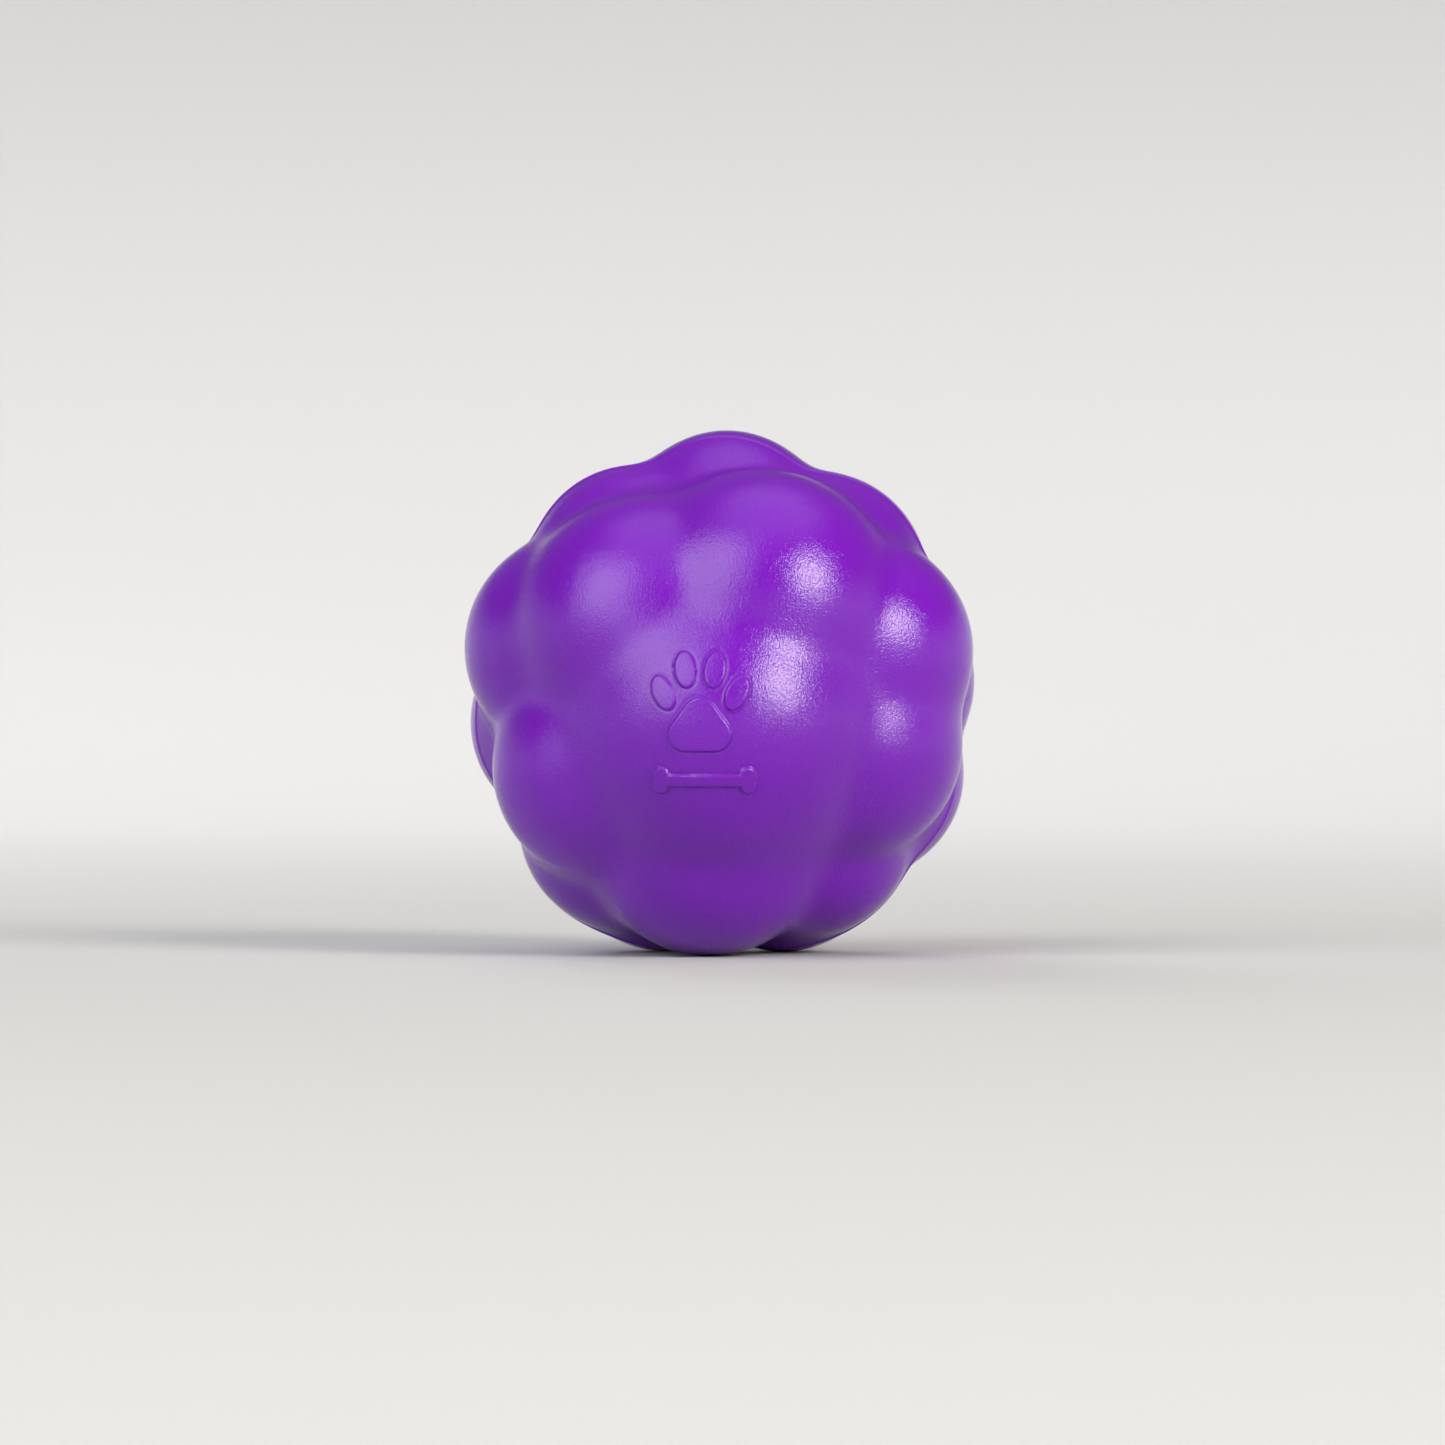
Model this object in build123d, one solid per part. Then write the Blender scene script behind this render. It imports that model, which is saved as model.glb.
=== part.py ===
from build123d import *
from math import comb, cos, radians, sin
import os
import numpy as np

# Driving dimensions, in millimetres and degrees.
REST_HEIGHT = 31.3           # ball centre above the surface that the ball stands on
BLEND = 1.0                  # softness of the valleys between lobes
VALLEY_FLOOR = 27.0          # radius that the widest valleys fall to
CAVITY_RADIUS = 21.0         # sealed air space inside
BOND_INNER_RADIUS = 23.0     # bond ring, in a groove cut half in each rim
BOND_OUTER_RADIUS = 25.0
BOND_HEIGHT = 2.0
MOULD_TURN = 4.0             # pole of the front half, turned from -Y towards -X
MOULD_TILT = 4.0             # the same pole, tipped below the horizontal
RELIEF = 0.35                # height of the raised emblem above the skin

# Each lobe is a ball pushed out through the skin. Its bearing runs from -Y (the front)
# towards +X, its elevation is above the horizontal, reach is how far its tip is from the
# ball's centre, and the last number is the lobe's own radius.
LOBES = {
    "front": (-1, -15, 31.9, 20),
    "front_up_left": (-40, 30.5, 32.1, 16),
    "front_up_right": (23, 41, 33.0, 16.5),
    "right_front": (66, 17, 32.9, 14),
    "right_front_low": (63, -19, 32.0, 14),
    "bottom_right": (84, -57, 32.3, 12.5),
    "left_front_low": (-58, -28, 32.1, 14),
    "left_up": (-79, 19, 32.5, 14),
    "top_left": (-97, 56, 31.5, 13),
    "top": (165, 82, 32.9, 13),
    "top_right": (93, 50, 31.9, 13.5),
    "right_back": (110, 6, 32.5, 13),
    "right_back_low": (105, -28, 32.8, 12.5),
    "left_back": (-112, -9, 32.5, 13),
    "left_back_low": (-97, -53, 32.5, 13),
    "back_up_right": (143, 28, 32.0, 13),
    "back_low_right": (153, -22, 31.5, 13),
    "back": (180, 6, 31.8, 13),
    "back_low_left": (-155, -24, 31.6, 13),
    "back_up_left": (-135, 21, 32.2, 13),
    "back_top": (-172, 46, 32.2, 13),
}

# The three lobes that the ball stands on: bearing, elevation and the lobe's own radius.
# Their reach follows from the height at which the ball rests.
RESTING_LOBES = {
    "bottom_front": (-11, -65, 15),
    "bottom_back_left": (-137, -62, 13),
    "bottom_back_right": (129, -62, 13),
}

# The skin of each half is a cap of square cells round its pole and a skirt of cells
# from the cap down to the parting plane, laid out like the faces of a blown-up cube.
CAP_HALF_ANGLE = 45.0
CAP_CELLS = 3
SKIRT_CELLS = 2
DEGREE = 12                  # degree of each cell's surface, both ways

# Emblem: a paw print over a plain bone, laid out in the plane across the mould's pole.
# Every other number in it is measured from the centre of the paw or of the bone.
PAW_CENTRE = (-0.3, 1.6)
PAD_CORNERS = ((-1.7, -3.9), (1.7, -3.9), (0.0, -1.6))
PAD_ROUNDING = 2.0
TOES = ((1.75, 3.6, 8), (4.35, 0.9, 25))    # out from the middle, up, and splay in degrees
TOE_HALF_WIDTH = 1.25
TOE_HALF_LENGTH = 2.1
BONE_CENTRE = (0.15, -7.8)
BONE_WIDTH = 1.4
KNUCKLE_REACH = 5.15
KNUCKLE_SPREAD = 0.62
KNUCKLE_RADIUS = 0.95
EMBLEM_ROOT = 25.0           # the emblem's pads start inside the wall, this far along the pole
EMBLEM_RISE = 12.0           # and are drawn past the skin, then trimmed to the relief


def heading(bearing, elevation):
    """Unit vector at a bearing from -Y towards +X and an elevation above the horizontal."""
    turn = radians(bearing)
    rise = radians(elevation)
    return np.array([sin(turn) * cos(rise), -cos(turn) * cos(rise), sin(rise)])


def lobe_table():
    """Every lobe as its direction, the distance of its centre, and its radius."""
    rows = [(heading(b, e), reach - size, size) for b, e, reach, size in LOBES.values()]
    for bearing, elevation, size in RESTING_LOBES.values():
        distance = (REST_HEIGHT - size) / sin(radians(-elevation))
        rows.append((heading(bearing, elevation), distance, size))
    directions = np.array([row[0] for row in rows])
    distances = np.array([row[1] for row in rows])
    sizes = np.array([row[2] for row in rows])
    return directions, distances, sizes


LOBE_DIRECTIONS, LOBE_DISTANCES, LOBE_SIZES = lobe_table()


def skin_radius(directions):
    """Distance from the ball's centre to its skin: a soft maximum over the lobes."""
    lean = directions @ LOBE_DIRECTIONS.T
    under_root = LOBE_SIZES**2 - LOBE_DISTANCES**2 * (1 - lean**2)
    reaches = LOBE_DISTANCES * lean + np.sqrt(np.maximum(under_root, 0))
    reaches = np.where((under_root > 0) & (lean > 0), reaches, 0)
    floor = np.full(reaches.shape[:-1] + (1,), VALLEY_FLOOR)
    reaches = np.concatenate([reaches, floor], axis=-1)
    return BLEND * np.log(np.exp(reaches / BLEND).sum(axis=-1))


# Where each cell is sampled, and the matrix that turns samples into control points.
SAMPLES = 0.5 - 0.5 * np.cos(np.pi * np.arange(DEGREE + 1) / DEGREE)
BERNSTEIN = np.array([
    [comb(DEGREE, j) * t**j * (1 - t)**(DEGREE - j) for j in range(DEGREE + 1)]
    for t in SAMPLES
])
TO_CONTROLS = np.linalg.inv(BERNSTEIN)


def skin_cell(middle, across, along, across_span, along_span, extra):
    """One cell of skin on the cube face whose middle direction and two edges are given."""
    across_tangents = np.tan(np.radians(np.interp(SAMPLES, [0, 1], across_span)))
    along_tangents = np.tan(np.radians(np.interp(SAMPLES, [0, 1], along_span)))
    rays = middle + across_tangents[:, None, None] * across + along_tangents[None, :, None] * along
    rays = rays / np.linalg.norm(rays, axis=2, keepdims=True)
    points = rays * (skin_radius(rays) + extra)[..., None]
    controls = np.einsum("ij,jkc,lk->ilc", TO_CONTROLS, points, TO_CONTROLS)
    return Face.make_bezier_surface([[tuple(point) for point in row] for row in controls])


def spans(low, high, count):
    """Split an angle range into equal cells."""
    edges = np.linspace(low, high, count + 1)
    return list(zip(edges[:-1], edges[1:]))


def solid_half(pole, right, up, extra=0.0):
    """One half of the ball, solid inside, from its pole to the parting plane."""
    cap_spans = spans(-CAP_HALF_ANGLE, CAP_HALF_ANGLE, CAP_CELLS)
    skirt_spans = spans(0, CAP_HALF_ANGLE, SKIRT_CELLS)
    faces = [skin_cell(pole, right, up, a, b, extra) for a in cap_spans for b in cap_spans]
    for middle, along in ((right, up), (up, -right), (-right, -up), (-up, right)):
        for along_span in cap_spans:
            for rise_span in skirt_spans:
                faces.append(skin_cell(middle, pole, along, rise_span, along_span, extra))
    normal = Vector(*pole)
    rim = [
        edge
        for face in faces
        for edge in face.edges()
        if all(abs(normal.dot(edge @ t)) < 1e-6 for t in (0, 0.5, 1))
    ]
    faces.append(Face(Wire(rim)))
    return Solid(Shell(faces))


def paw_print():
    """The pad and four toes, as flat shapes."""
    corners = [Pos(x, y) * Circle(PAD_ROUNDING).edge() for x, y in PAD_CORNERS]
    shapes = [make_hull(corners)]
    for side in (-1, 1):
        for out, rise, splay in TOES:
            toe = Ellipse(TOE_HALF_WIDTH, TOE_HALF_LENGTH)
            shapes.append(Pos(side * out, rise) * Rot(0, 0, -side * splay) * toe)
    return [Pos(*PAW_CENTRE) * shape for shape in shapes]


def bone():
    """A straight bone with two round knuckles at each end, as one flat shape."""
    shape = Rectangle(2 * KNUCKLE_REACH, BONE_WIDTH)
    for x in (-KNUCKLE_REACH, KNUCKLE_REACH):
        for y in (-KNUCKLE_SPREAD, KNUCKLE_SPREAD):
            shape += Pos(x, y) * Circle(KNUCKLE_RADIUS)
    return Pos(*BONE_CENTRE) * shape


POLE = heading(-MOULD_TURN, -MOULD_TILT)
RIGHT = np.cross([0, 0, 1], POLE) / np.linalg.norm(np.cross([0, 0, 1], POLE))
UP = np.cross(POLE, RIGHT)
PARTING_PLANE = Plane(origin=(0, 0, 0), x_dir=tuple(RIGHT), z_dir=tuple(POLE))

# The cured cement that fills a groove cut half in each rim.
ring = Cylinder(BOND_OUTER_RADIUS, BOND_HEIGHT) - Cylinder(BOND_INNER_RADIUS, BOND_HEIGHT)
bond_ring = PARTING_PLANE * ring

# The two moulded halves, hollow inside, and the emblem raised on the front one.
cavity = Sphere(CAVITY_RADIUS)
front_half = solid_half(POLE, RIGHT, UP) - cavity - bond_ring
rear_half = solid_half(-POLE, RIGHT, UP) - cavity - bond_ring

raised_skin = solid_half(POLE, RIGHT, UP, RELIEF)
emblem_plane = PARTING_PLANE.offset(EMBLEM_ROOT)
for shape in paw_print() + [bone()]:
    front_half += extrude(emblem_plane * shape, EMBLEM_RISE) & raised_skin

nodes = {
    "front_half": front_half,
    "rear_half": rear_half,
    "bond_ring": bond_ring,
}

os.makedirs("parts", exist_ok=True)
for name, shape in nodes.items():
    shape.label = name
    export_step(shape, f"parts/{name}.step")

box = Compound(children=list(nodes.values())).bounding_box()
mass_points = [(shape.volume, shape.center(CenterOf.MASS)) for shape in nodes.values()]
total = sum(volume for volume, centre in mass_points)
centroid = sum((centre * volume for volume, centre in mass_points), Vector()) * (1 / total)
print("box", box.min, box.max, "centroid", centroid)
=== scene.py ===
"""Looks of the lobed rubber ball. Two moulded half shells meet at one parting line, and a ring
of cured cement holds them together. Everything is in metres, in the frame of the CAD model."""
import bpy
import math
import numpy as np
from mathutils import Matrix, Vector, kdtree


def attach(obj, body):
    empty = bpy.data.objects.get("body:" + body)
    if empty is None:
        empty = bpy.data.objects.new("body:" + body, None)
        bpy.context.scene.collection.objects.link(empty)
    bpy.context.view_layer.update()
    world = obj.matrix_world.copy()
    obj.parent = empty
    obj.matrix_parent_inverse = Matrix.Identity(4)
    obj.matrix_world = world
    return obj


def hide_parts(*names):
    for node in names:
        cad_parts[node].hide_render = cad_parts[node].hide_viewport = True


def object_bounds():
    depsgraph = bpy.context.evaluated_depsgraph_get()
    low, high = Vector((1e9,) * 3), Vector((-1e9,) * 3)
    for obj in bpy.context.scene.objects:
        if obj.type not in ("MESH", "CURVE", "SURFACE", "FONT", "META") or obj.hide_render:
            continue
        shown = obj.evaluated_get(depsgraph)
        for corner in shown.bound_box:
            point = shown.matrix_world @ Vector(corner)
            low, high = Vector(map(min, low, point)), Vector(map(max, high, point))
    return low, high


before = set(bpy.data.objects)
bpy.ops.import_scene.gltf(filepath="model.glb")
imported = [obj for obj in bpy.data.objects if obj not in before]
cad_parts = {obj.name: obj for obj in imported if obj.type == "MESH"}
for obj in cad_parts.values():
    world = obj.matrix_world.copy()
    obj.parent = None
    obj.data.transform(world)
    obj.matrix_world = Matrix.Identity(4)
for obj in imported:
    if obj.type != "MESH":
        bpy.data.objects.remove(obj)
cad_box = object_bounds()

MM = 0.001

# Emblem, in millimetres, in the plane across the mould's pole: a paw print over a bone.
PAW_CENTRE = (-0.3, 1.6)
PAD_CORNERS = ((-1.7, -3.9), (1.7, -3.9), (0.0, -1.6))
PAD_ROUNDING = 2.0
TOES = ((1.75, 3.6, 8), (4.35, 0.9, 25))
TOE_HALF_SIZE = (1.25, 2.1)
BONE_CENTRE = (0.15, -7.8)
BONE_HALF_SIZE = (5.15, 0.7)
KNUCKLE_SPREAD = 0.62
KNUCKLE_RADIUS = 0.95
RELIEF = 0.35                # height of the emblem in the CAD model
EMBLEM_HEIGHT = 0.32         # height that is drawn here
EMBLEM_WALL = 0.28           # width of its rounded wall
CREASE_DEPTH = 0.07          # fine groove round the foot of the emblem
CREASE_WIDTH = 0.13

# Parting line: a trimmed bead of flash on each rim, highest at the parting plane. In
# millimetres; the width is how far from the plane the bead falls to 1/e of its height.
BEAD_HEIGHT = 0.17
BEAD_WIDTH = 0.22

# Mesh spacing, in degrees seen from the ball's centre.
COARSE_STEP = 1.0
FINE_STEP = 0.24
RIM_STEP = 0.12
CAP_EDGE = 45.0
EMBLEM_SPAN_ACROSS = (-12.0, 12.0)
EMBLEM_SPAN_ALONG = (-18.5, 15.0)
RIM_SPAN = 1.6
CAVITY_STEP = 8              # between rings on the cavity wall

NEIGHBOURS = 28              # CAD points that each skin point is fitted to
FIT_FALLOFF = 4.5            # how fast a CAD point's weight in that fit falls with distance
SHARP_ANGLE = 50             # degrees between faces that keep a crisp edge


# ---------------------------------------------------------------- the mould's own frame

def points_of(node):
    """A CAD node's points in millimetres."""
    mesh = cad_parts[node].data
    flat = np.zeros(3 * len(mesh.vertices))
    mesh.vertices.foreach_get("co", flat)
    return flat.reshape(-1, 3) / MM


def unit(vectors):
    return vectors / np.linalg.norm(vectors, axis=-1, keepdims=True)


ring_points = points_of("bond_ring")
front_points = points_of("front_half")
rear_points = points_of("rear_half")

# The bond ring is flat across the pole, so its thinnest direction is the pole.
POLE = np.linalg.svd(ring_points - ring_points.mean(axis=0), full_matrices=False)[2][2]
POLE = POLE * np.sign(POLE @ front_points.mean(axis=0))
RIGHT = unit(np.cross([0, 0, 1], POLE))
UP = np.cross(POLE, RIGHT)

ring_reach = np.hypot(ring_points @ RIGHT, ring_points @ UP)
BOND_INNER = ring_reach.min()
BOND_OUTER = ring_reach.max()
BOND_DEPTH = abs(ring_points @ POLE).max()
CAVITY = np.linalg.norm(front_points, axis=1).min()


# ---------------------------------------------------------------- emblem

def polygon_distance(x, y, corners):
    """Signed distance to a convex polygon whose corners run anticlockwise."""
    outside = np.full(x.shape, 1e9)
    deepest = np.full(x.shape, -1e9)
    for (ax, ay), (bx, by) in zip(corners, corners[1:] + corners[:1]):
        ex, ey = bx - ax, by - ay
        length = math.hypot(ex, ey)
        t = np.clip(((x - ax) * ex + (y - ay) * ey) / length**2, 0, 1)
        outside = np.minimum(outside, np.hypot(x - ax - t * ex, y - ay - t * ey))
        deepest = np.maximum(deepest, ((x - ax) * ey - (y - ay) * ex) / length)
    return np.where(deepest > 0, outside, deepest)


def ellipse_distance(x, y, half_width, half_length):
    """Signed distance to an upright ellipse, close to exact near its edge."""
    near = np.hypot(x / half_width, y / half_length)
    slope = np.hypot(x / half_width**2, y / half_length**2)
    return near * (near - 1) / np.maximum(slope, 1e-9)


def emblem_distance(points):
    """Distance from the edge of the emblem, below zero inside it, of points on the skin."""
    x, y = points @ RIGHT, points @ UP
    paw_x, paw_y = x - PAW_CENTRE[0], y - PAW_CENTRE[1]
    distance = polygon_distance(paw_x, paw_y, list(PAD_CORNERS)) - PAD_ROUNDING
    for side in (-1, 1):
        for out, rise, splay in TOES:
            turn = math.radians(side * splay)
            toe_x, toe_y = paw_x - side * out, paw_y - rise
            across = toe_x * math.cos(turn) - toe_y * math.sin(turn)
            along = toe_x * math.sin(turn) + toe_y * math.cos(turn)
            distance = np.minimum(distance, ellipse_distance(across, along, *TOE_HALF_SIZE))
    bone_x, bone_y = x - BONE_CENTRE[0], y - BONE_CENTRE[1]
    past_x = abs(bone_x) - BONE_HALF_SIZE[0]
    past_y = abs(bone_y) - BONE_HALF_SIZE[1]
    shaft = np.hypot(np.maximum(past_x, 0), np.maximum(past_y, 0))
    distance = np.minimum(distance, shaft + np.minimum(np.maximum(past_x, past_y), 0))
    knuckle = np.hypot(past_x, abs(bone_y) - KNUCKLE_SPREAD) - KNUCKLE_RADIUS
    distance = np.minimum(distance, knuckle)
    return np.where(points @ POLE > 0, distance, 1e3)


def smooth(t):
    t = np.clip(t, 0, 1)
    return t * t * (3 - 2 * t)


def emblem_height(distance):
    raised = EMBLEM_HEIGHT * smooth(0.5 - distance / EMBLEM_WALL)
    crease = CREASE_DEPTH * np.exp(-((distance - EMBLEM_WALL / 2) / CREASE_WIDTH) ** 2)
    return raised - crease


# ---------------------------------------------------------------- skin

def skin_samples():
    """Directions and radii of the CAD skin's own points, with the emblem taken off."""
    points = np.concatenate([front_points, rear_points])
    radii = np.linalg.norm(points, axis=1)
    points = points[radii > BOND_OUTER + BOND_DEPTH]
    radii = radii[radii > BOND_OUTER + BOND_DEPTH]
    distance = emblem_distance(points)
    radii = np.where(distance < 0, radii - RELIEF, radii)
    clear = abs(distance) > RELIEF / 4
    return unit(points[clear]), radii[clear]


SAMPLE_DIRECTIONS, SAMPLE_RADII = skin_samples()
sample_tree = kdtree.KDTree(len(SAMPLE_DIRECTIONS))
for index, direction in enumerate(SAMPLE_DIRECTIONS):
    sample_tree.insert(direction, index)
sample_tree.balance()


def skin_radius(directions):
    """Skin radius along each direction, from a weighted quadratic fit to the nearest points."""
    found = [sample_tree.find_n(direction, NEIGHBOURS) for direction in directions]
    index = np.array([[hit[1] for hit in hits] for hits in found])
    gap = np.array([[hit[2] for hit in hits] for hits in found])
    helper = np.where(abs(directions[:, 2:3]) < 0.8, [[0, 0, 1]], [[1, 0, 0]])
    east = unit(np.cross(helper, directions))
    north = np.cross(directions, east)
    near = SAMPLE_DIRECTIONS[index]
    a = np.einsum("nkc,nc->nk", near, east)
    b = np.einsum("nkc,nc->nk", near, north)
    weight = np.exp(-FIT_FALLOFF * (gap / gap[:, -1:]) ** 2)
    scale = gap[:, -1:]
    a, b = a / scale, b / scale
    terms = np.stack([np.ones_like(a), a, b, a * a, a * b, b * b], axis=-1)
    weighted = terms * weight[..., None]
    normal = np.einsum("nki,nkj->nij", weighted, terms) + 1e-9 * np.eye(6)
    target = np.einsum("nki,nk->ni", weighted, SAMPLE_RADII[index])
    return np.linalg.solve(normal, target[..., None])[:, 0, 0]


def skin_points(directions):
    """The finished skin, in millimetres: the lobes, the emblem and the bead at the parting line."""
    radius = skin_radius(directions)
    points = directions * radius[:, None]
    height = emblem_height(emblem_distance(points))
    from_rim = abs(points @ POLE)
    bead = BEAD_HEIGHT * np.exp(-(from_rim / BEAD_WIDTH) ** 2)
    return directions * (radius + height + bead)[:, None]


# ---------------------------------------------------------------- half shells

def stepped(low, high, fine_low=None, fine_high=None, fine=FINE_STEP):
    """Angles from low to high, close together between fine_low and fine_high."""
    if fine_low is None:
        return list(np.linspace(low, high, round((high - low) / COARSE_STEP) + 1))
    middle = np.linspace(fine_low, fine_high, round((fine_high - fine_low) / fine) + 1)
    before = np.linspace(low, fine_low, max(1, round((fine_low - low) / COARSE_STEP)) + 1)
    after = np.linspace(fine_high, high, max(1, round((high - fine_high) / COARSE_STEP)) + 1)
    return list(before[:-1]) + list(middle) + list(after[1:])


def half_mesh(name, pole, across_lines, along_lines, rise_lines):
    """One half as a closed shell: a cap of cells round the pole, a skirt down to the parting
    plane, the rim with its groove, and the round cavity wall."""
    upwards = np.cross(pole, RIGHT)
    across = np.tan(np.radians(across_lines))
    along = np.tan(np.radians(along_lines))
    rise = np.tan(np.radians(rise_lines))
    columns, rows = len(across), len(along)

    cap = (pole + across[:, None, None] * RIGHT + along[None, :, None] * upwards)
    directions = [cap.reshape(-1, 3)]
    cap_index = np.arange(columns * rows).reshape(columns, rows)
    faces = [quads(cap_index)]

    # The cap's border, walked anticlockwise as seen from outside, and the same walk as a skirt.
    walk = [(i, 0) for i in range(columns - 1)]
    walk += [(columns - 1, j) for j in range(rows - 1)]
    walk += [(i, rows - 1) for i in range(columns - 1, 0, -1)]
    walk += [(0, j) for j in range(rows - 1, 0, -1)]
    border = np.array([cap_index[i, j] for i, j in walk])
    outward = np.array([directions[0][k] - pole for k in border])
    count = columns * rows
    previous = border
    for level in rise[::-1][1:]:
        directions.append(outward + level * pole)
        ring = count + np.arange(len(border))
        faces.append(band(previous, ring))
        previous = ring
        count += len(border)
    points = skin_points(unit(np.concatenate(directions)))

    # Rim, groove and cavity are rings with as many points as the skirt has.
    flat = unit(outward)
    rings = [flat * BOND_OUTER]
    rings.append(flat * BOND_OUTER + pole * BOND_DEPTH)
    rings.append(flat * BOND_INNER + pole * BOND_DEPTH)
    rings.append(flat * BOND_INNER)
    for angle in np.radians(np.arange(0, 89, CAVITY_STEP)):
        rings.append(CAVITY * (flat * math.cos(angle) + pole * math.sin(angle)))
    for ring_of_points in rings:
        ring = count + np.arange(len(border))
        faces.append(band(previous, ring))
        previous = ring
        count += len(border)
        points = np.concatenate([points, ring_of_points])
    points = np.concatenate([points, [pole * CAVITY]])
    faces = np.concatenate(faces)

    mesh = bpy.data.meshes.new(name)
    polygons = faces.tolist()
    polygons += [(int(b), int(a), count) for a, b in zip(previous, np.roll(previous, -1))]
    mesh.from_pydata((points * MM).tolist(), [], polygons)
    mesh.shade_smooth()
    mesh.set_sharp_from_angle(angle=math.radians(SHARP_ANGLE))
    piece = bpy.data.objects.new(name, mesh)
    bpy.context.scene.collection.objects.link(piece)
    return piece


def quads(index):
    """Faces of a grid of point numbers."""
    corners = (index[:-1, :-1], index[1:, :-1], index[1:, 1:], index[:-1, 1:])
    return np.stack([c.ravel() for c in corners], axis=1)


def band(upper, lower):
    """Faces between two rings of point numbers."""
    return np.stack([upper, lower, np.roll(lower, -1), np.roll(upper, -1)], axis=1)


# ---------------------------------------------------------------- materials

# Colours are linear, noise scales are per metre, and depths are in metres.
DARK_PURPLE = (0.128, 0.004, 0.350, 1)
LIGHT_PURPLE = (0.143, 0.005, 0.386, 1)
CLOUD_SCALE = 55             # faint change of tint
GRAIN_SCALE = 5200           # fine grain that breaks up the highlights
GRAIN_DEPTH = 0.00005
WAVE_SCALE = 260             # soft unevenness of the skin
WAVE_DEPTH = 0.00006
GRAIN_ROUGHNESS = (0.06, 0.14)
DARK_CEMENT = (0.150, 0.075, 0.215, 1)
LIGHT_CEMENT = (0.190, 0.105, 0.260, 1)
BUBBLE_SCALE = 1400
BUBBLE_DEPTH = 0.0001
PAPER = (0.50, 0.50, 0.505, 1)
PAPER_SCALE = 900
PAPER_DEPTH = 0.0001


def new_material(name):
    material = bpy.data.materials.new(name)
    material.use_nodes = True
    nodes = material.node_tree.nodes
    return material, nodes, material.node_tree.links, nodes["Principled BSDF"]


def node(nodes, kind, **settings):
    made = nodes.new(kind)
    for key, value in settings.items():
        setattr(made, key, value)
    return made


def moulded_rubber():
    """Satin purple rubber: faint cloudy colour, fine grain, and a touch of light let in."""
    material, nodes, links, shader = new_material("moulded_rubber")
    place = node(nodes, "ShaderNodeTexCoord")

    cloud = node(nodes, "ShaderNodeTexNoise", noise_dimensions="3D")
    cloud.inputs["Scale"].default_value = CLOUD_SCALE
    cloud.inputs["Detail"].default_value = 3
    links.new(place.outputs["Object"], cloud.inputs["Vector"])
    tint = node(nodes, "ShaderNodeValToRGB")
    tint.color_ramp.elements[0].position = 0.3
    tint.color_ramp.elements[0].color = DARK_PURPLE
    tint.color_ramp.elements[1].position = 0.7
    tint.color_ramp.elements[1].color = LIGHT_PURPLE
    links.new(cloud.outputs["Fac"], tint.inputs["Fac"])
    links.new(tint.outputs["Color"], shader.inputs["Base Color"])

    grain = node(nodes, "ShaderNodeTexNoise", noise_dimensions="3D")
    grain.inputs["Scale"].default_value = GRAIN_SCALE
    grain.inputs["Detail"].default_value = 1
    links.new(place.outputs["Object"], grain.inputs["Vector"])
    wave = node(nodes, "ShaderNodeTexNoise", noise_dimensions="3D")
    wave.inputs["Scale"].default_value = WAVE_SCALE
    wave.inputs["Detail"].default_value = 2
    links.new(place.outputs["Object"], wave.inputs["Vector"])
    soft = node(nodes, "ShaderNodeBump")
    soft.inputs["Strength"].default_value = 0.25
    soft.inputs["Distance"].default_value = WAVE_DEPTH
    links.new(wave.outputs["Fac"], soft.inputs["Height"])
    fine = node(nodes, "ShaderNodeBump")
    fine.inputs["Strength"].default_value = 1.0
    fine.inputs["Distance"].default_value = GRAIN_DEPTH
    links.new(grain.outputs["Fac"], fine.inputs["Height"])
    links.new(soft.outputs["Normal"], fine.inputs["Normal"])
    links.new(fine.outputs["Normal"], shader.inputs["Normal"])

    gloss = node(nodes, "ShaderNodeMapRange")
    gloss.inputs["From Min"].default_value = 0.35
    gloss.inputs["From Max"].default_value = 0.65
    gloss.inputs["To Min"].default_value = GRAIN_ROUGHNESS[0]
    gloss.inputs["To Max"].default_value = GRAIN_ROUGHNESS[1]
    links.new(grain.outputs["Fac"], gloss.inputs["Value"])
    links.new(gloss.outputs["Result"], shader.inputs["Roughness"])
    shader.inputs["Specular IOR Level"].default_value = 0.45
    shader.inputs["Subsurface Weight"].default_value = 0.12
    shader.inputs["Subsurface Radius"].default_value = (1.0, 0.25, 1.0)
    shader.inputs["Subsurface Scale"].default_value = 0.0012
    return material


def bond_rubber():
    """Matt cement with small bubbles in it."""
    material, nodes, links, shader = new_material("bond_rubber")
    place = node(nodes, "ShaderNodeTexCoord")
    bubbles = node(nodes, "ShaderNodeTexVoronoi")
    bubbles.inputs["Scale"].default_value = BUBBLE_SCALE
    links.new(place.outputs["Object"], bubbles.inputs["Vector"])
    tint = node(nodes, "ShaderNodeValToRGB")
    tint.color_ramp.elements[0].color = DARK_CEMENT
    tint.color_ramp.elements[1].color = LIGHT_CEMENT
    links.new(bubbles.outputs["Distance"], tint.inputs["Fac"])
    links.new(tint.outputs["Color"], shader.inputs["Base Color"])
    pitted = node(nodes, "ShaderNodeBump")
    pitted.inputs["Strength"].default_value = 0.4
    pitted.inputs["Distance"].default_value = BUBBLE_DEPTH
    links.new(bubbles.outputs["Distance"], pitted.inputs["Height"])
    links.new(pitted.outputs["Normal"], shader.inputs["Normal"])
    shader.inputs["Roughness"].default_value = 0.8
    return material


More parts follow.
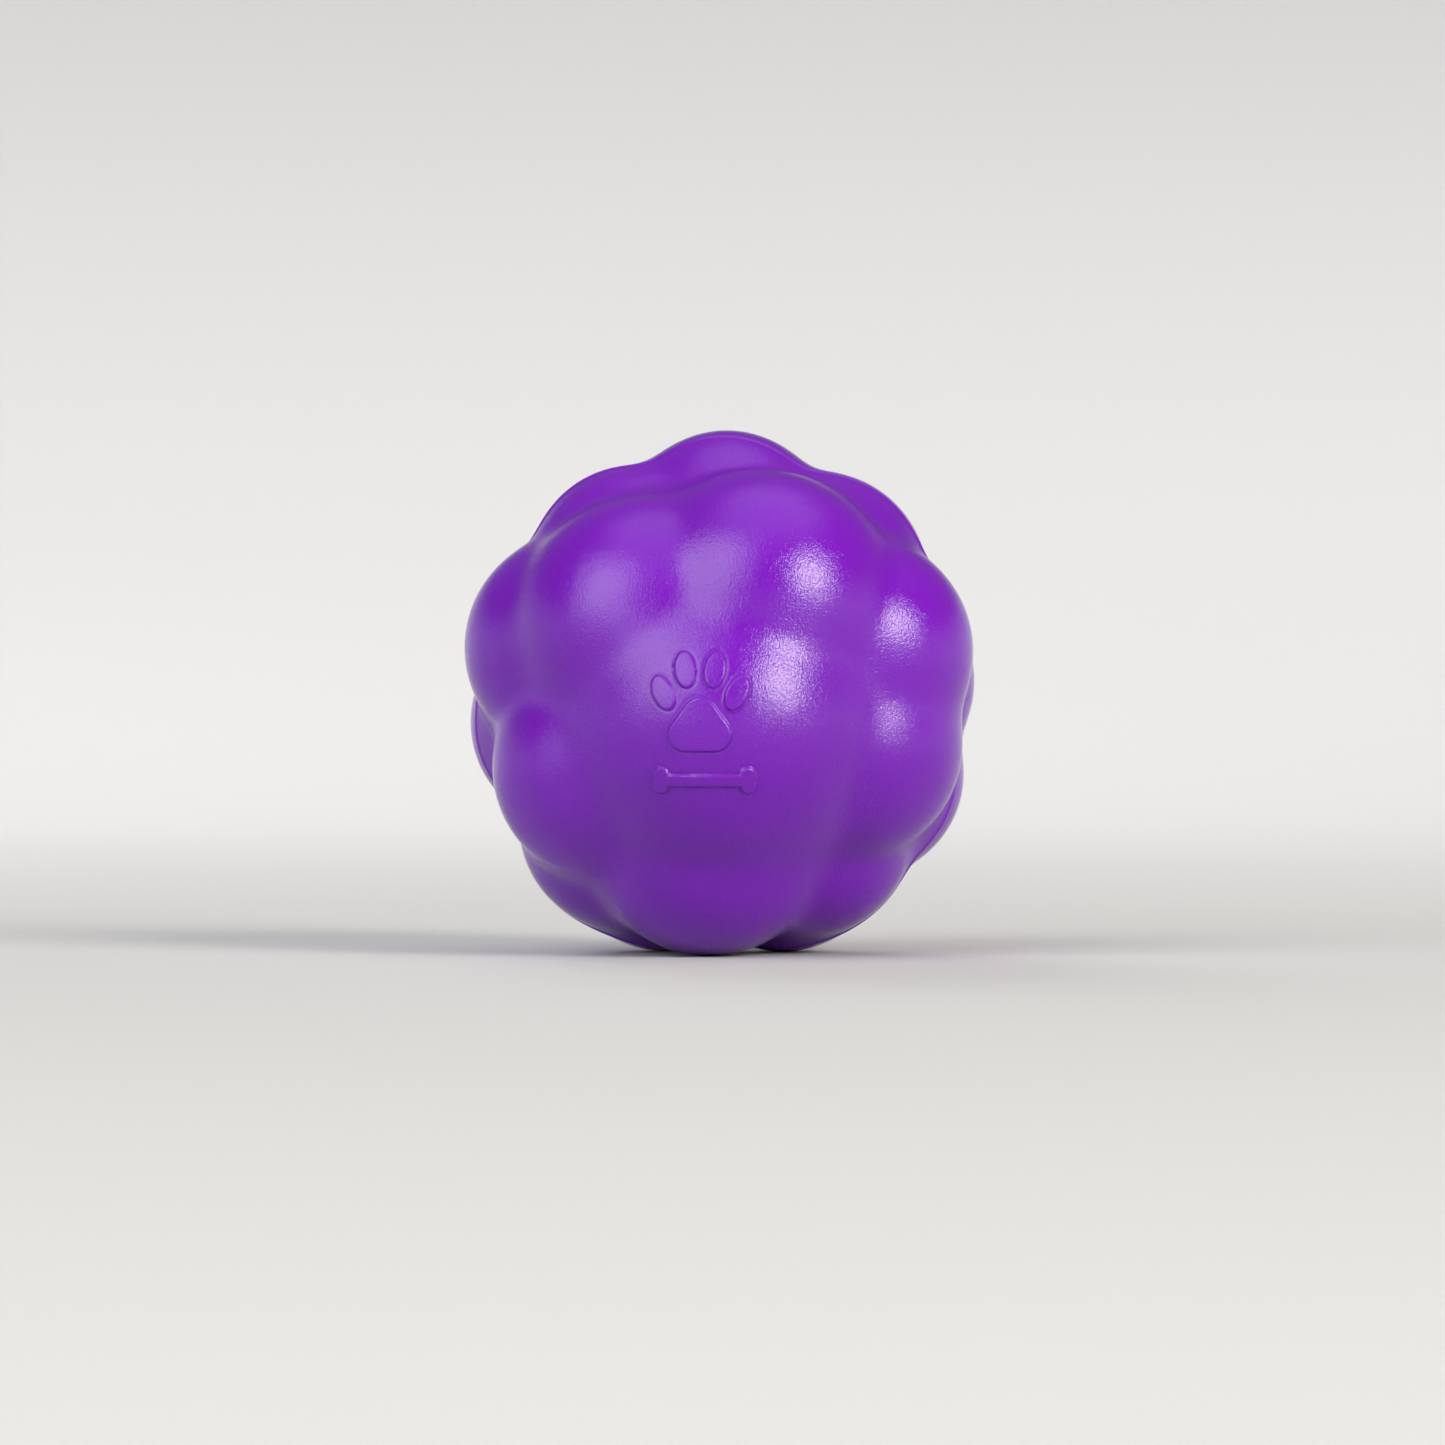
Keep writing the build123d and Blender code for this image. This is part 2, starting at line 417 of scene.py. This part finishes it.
def backdrop_paper():
    """Pale seamless paper with a very faint tooth."""
    material, nodes, links, shader = new_material("backdrop_paper")
    place = node(nodes, "ShaderNodeTexCoord")
    tooth = node(nodes, "ShaderNodeTexNoise")
    tooth.inputs["Scale"].default_value = PAPER_SCALE
    links.new(place.outputs["Object"], tooth.inputs["Vector"])
    raised = node(nodes, "ShaderNodeBump")
    raised.inputs["Strength"].default_value = 0.05
    raised.inputs["Distance"].default_value = PAPER_DEPTH
    links.new(tooth.outputs["Fac"], raised.inputs["Height"])
    links.new(raised.outputs["Normal"], shader.inputs["Normal"])
    shader.inputs["Base Color"].default_value = PAPER
    shader.inputs["Roughness"].default_value = 0.9
    shader.inputs["Specular IOR Level"].default_value = 0.1
    return material


# ---------------------------------------------------------------- pieces

across_lines = stepped(-CAP_EDGE, CAP_EDGE, *EMBLEM_SPAN_ACROSS)
along_lines = stepped(-CAP_EDGE, CAP_EDGE, *EMBLEM_SPAN_ALONG)
even_lines = stepped(-CAP_EDGE, CAP_EDGE)
rise_lines = stepped(0, CAP_EDGE, 0, RIM_SPAN, RIM_STEP)[1:]

rubber = moulded_rubber()
for name, pole, lines in (
    ("front_skin", POLE, (across_lines, along_lines)),
    ("rear_skin", -POLE, (even_lines, even_lines)),
):
    piece = half_mesh(name, pole, *lines, rise_lines)
    piece.data.materials.append(rubber)
    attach(piece, "root")
    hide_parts(name.replace("skin", "half"))

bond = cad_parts["bond_ring"]
bond.data.materials.clear()
bond.data.materials.append(bond_rubber())


# ---------------------------------------------------------------- floor, light and camera

FLOOR_FLAT_RADIUS = 0.9
FLOOR_RIM_RADIUS = 3.4
FLOOR_RISE = 0.95
WORLD_COLOUR = (1.0, 0.97, 0.97, 1)
WORLD_STRENGTH = 0.15


def dish(name, flat_radius, rim_radius, rise, floor_height):
    """A round floor, flat in the middle, that curves gently upwards on every side."""
    steps, segments = 24, 96
    points = [(0.0, 0.0, floor_height)]
    for step in range(steps + 1):
        radius = flat_radius + (rim_radius - flat_radius) * step / steps
        height = floor_height + rise * (step / steps) ** 2
        for k in range(segments):
            turn = 2 * math.pi * k / segments
            points.append((radius * math.cos(turn), radius * math.sin(turn), height))
    faces = [(0, 1 + k, 1 + (k + 1) % segments) for k in range(segments)]
    for step in range(steps):
        base = 1 + step * segments
        for k in range(segments):
            nxt = (k + 1) % segments
            faces.append((base + k, base + segments + k, base + segments + nxt, base + nxt))
    mesh = bpy.data.meshes.new(name)
    mesh.from_pydata(points, [], faces)
    mesh.shade_smooth()
    floor = bpy.data.objects.new(name, mesh)
    bpy.context.scene.collection.objects.link(floor)
    return floor


floor = dish("floor", FLOOR_FLAT_RADIUS, FLOOR_RIM_RADIUS, FLOOR_RISE, cad_box[0].z)
floor.data.materials.append(backdrop_paper())


def aimed(obj, place, target):
    obj.location = place
    obj.rotation_euler = (Vector(target) - Vector(place)).to_track_quat("-Z", "Y").to_euler()
    bpy.context.scene.collection.objects.link(obj)
    return obj


def softbox(name, towards, distance, size, glow, target=(0, 0, 0), shape="DISK"):
    """A light in a direction from the ball that faces a target. Glow is its radiance."""
    light = bpy.data.lights.new(name, "AREA")
    light.shape = shape
    light.size = size
    area = math.pi * size**2 / 4 if shape == "DISK" else size**2
    light.energy = glow * math.pi * area
    place = Vector(towards).normalized() * distance
    lamp = aimed(bpy.data.objects.new(name, light), place, target)
    lamp.visible_camera = False
    return lamp


key = softbox("key_light", (0.65, -0.63, 0.42), 3.0, 1.42, 18.0)
key.data.color = (1.0, 0.95, 0.82)
softbox("fill_light", (-0.555, -0.616, 0.559), 2.6, 2.1, 3.8, shape="SQUARE")
softbox("top_light", (0.10, -0.05, 1.0), 1.5, 1.8, 0.8)

# The rear light brightens the back without a mirror image of itself at the ball's rim.
rear = softbox("rear_light", (-0.30, 1.0, 0.60), 2.0, 1.2, 0.7)
rear.data.spread = math.radians(60)
rear.visible_glossy = False

# Eight lights above the ball face outwards and down, so that they light only the backdrop.
# Those at the front are dimmer, which keeps the rubber's reflections of that side deep.
BACKDROP_LIGHTS = 8
BACKDROP_HEIGHT = Vector((0, 0, 1.6))
BACKDROP_DROP = Vector((0, 0, 0.55))    # how far below the light its target lies
BACKDROP_SIZE = 0.8
FRONT_GLOW = 6.0
OTHER_GLOW = 12.5
for k in range(BACKDROP_LIGHTS):
    turn = math.radians(360 / BACKDROP_LIGHTS * (k + 0.5))
    out = Vector((math.cos(turn), math.sin(turn), 0))
    lamp = out + BACKDROP_HEIGHT
    target = lamp + out - BACKDROP_DROP
    glow = FRONT_GLOW if out.y < -0.5 else OTHER_GLOW
    softbox(f"backdrop_light_{k}", lamp, lamp.length, BACKDROP_SIZE, glow, target)

world = bpy.data.worlds.new("studio")
world.use_nodes = True
world.node_tree.nodes["Background"].inputs["Color"].default_value = WORLD_COLOUR
world.node_tree.nodes["Background"].inputs["Strength"].default_value = WORLD_STRENGTH
bpy.context.scene.world = world
bpy.context.scene.view_settings.view_transform = "Standard"

# The photograph's framing: its width at the ball, seen level from the front.
CAMERA_DISTANCE = 0.75
FRAME_WIDTH = 0.1765
SENSOR = 36.0                # sensor width in millimetres
AIM = (0.0002, 0.0, -0.0031)
camera_data = bpy.data.cameras.new("camera")
camera_data.sensor_width = SENSOR
camera_data.lens = SENSOR * CAMERA_DISTANCE / FRAME_WIDTH
camera_data.clip_start = 0.05
camera_data.clip_end = 20
camera = bpy.data.objects.new("camera", camera_data)
aimed(camera, (AIM[0], -CAMERA_DISTANCE, AIM[2]), AIM)
bpy.context.scene.camera = camera
